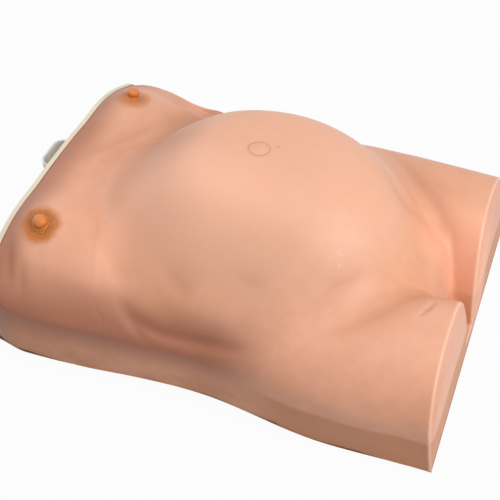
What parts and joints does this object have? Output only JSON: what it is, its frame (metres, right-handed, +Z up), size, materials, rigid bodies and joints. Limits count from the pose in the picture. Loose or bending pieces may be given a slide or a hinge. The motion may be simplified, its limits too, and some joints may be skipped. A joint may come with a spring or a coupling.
{
  "type": "maternity examination model",
  "caption": "Life-size supine training torso for feeling a baby through a soft late-pregnancy belly, with breasts, cut thighs and a flat base to lie on.",
  "frame": {"origin": "on the floor in the torso's middle plane, half way between the end plate's face and the cut thighs", "axes": "+X towards the thighs, +Y towards the torso's left side, +Z up"},
  "size_m": [0.5896, 0.447, 0.2396],
  "materials": {
    "soft_skin": "satin soft vinyl",
    "tray_plastic": "matte",
    "cream_board": "satin",
    "clear_loop": "translucent, glossy",
    "clamp_plastic": "matte",
    "soft_foam": "matte foam",
    "bone_plastic": "matte",
    "doll_skin": "satin soft vinyl",
    "screw_steel": "satin"
  },
  "bodies": {
    "root": {"torso_skin": "soft_skin", "base_tray": "tray_plastic", "chest_end_plate": "cream_board", "pull_loop": "clear_loop", "loop_clamp": "clamp_plastic", "chest_form": "soft_foam", "near_thigh_form": "soft_foam", "far_thigh_form": "soft_foam", "fetus_bed": "soft_foam", "lumbar_spine": "bone_plastic", "pelvis": "bone_plastic", "fetus": "doll_skin", "end_plate_screws": "screw_steel", "loop_clamp_screws": "screw_steel", "pelvis_screws": "screw_steel", "spine_screws": "screw_steel"}
  },
  "joints": []
}
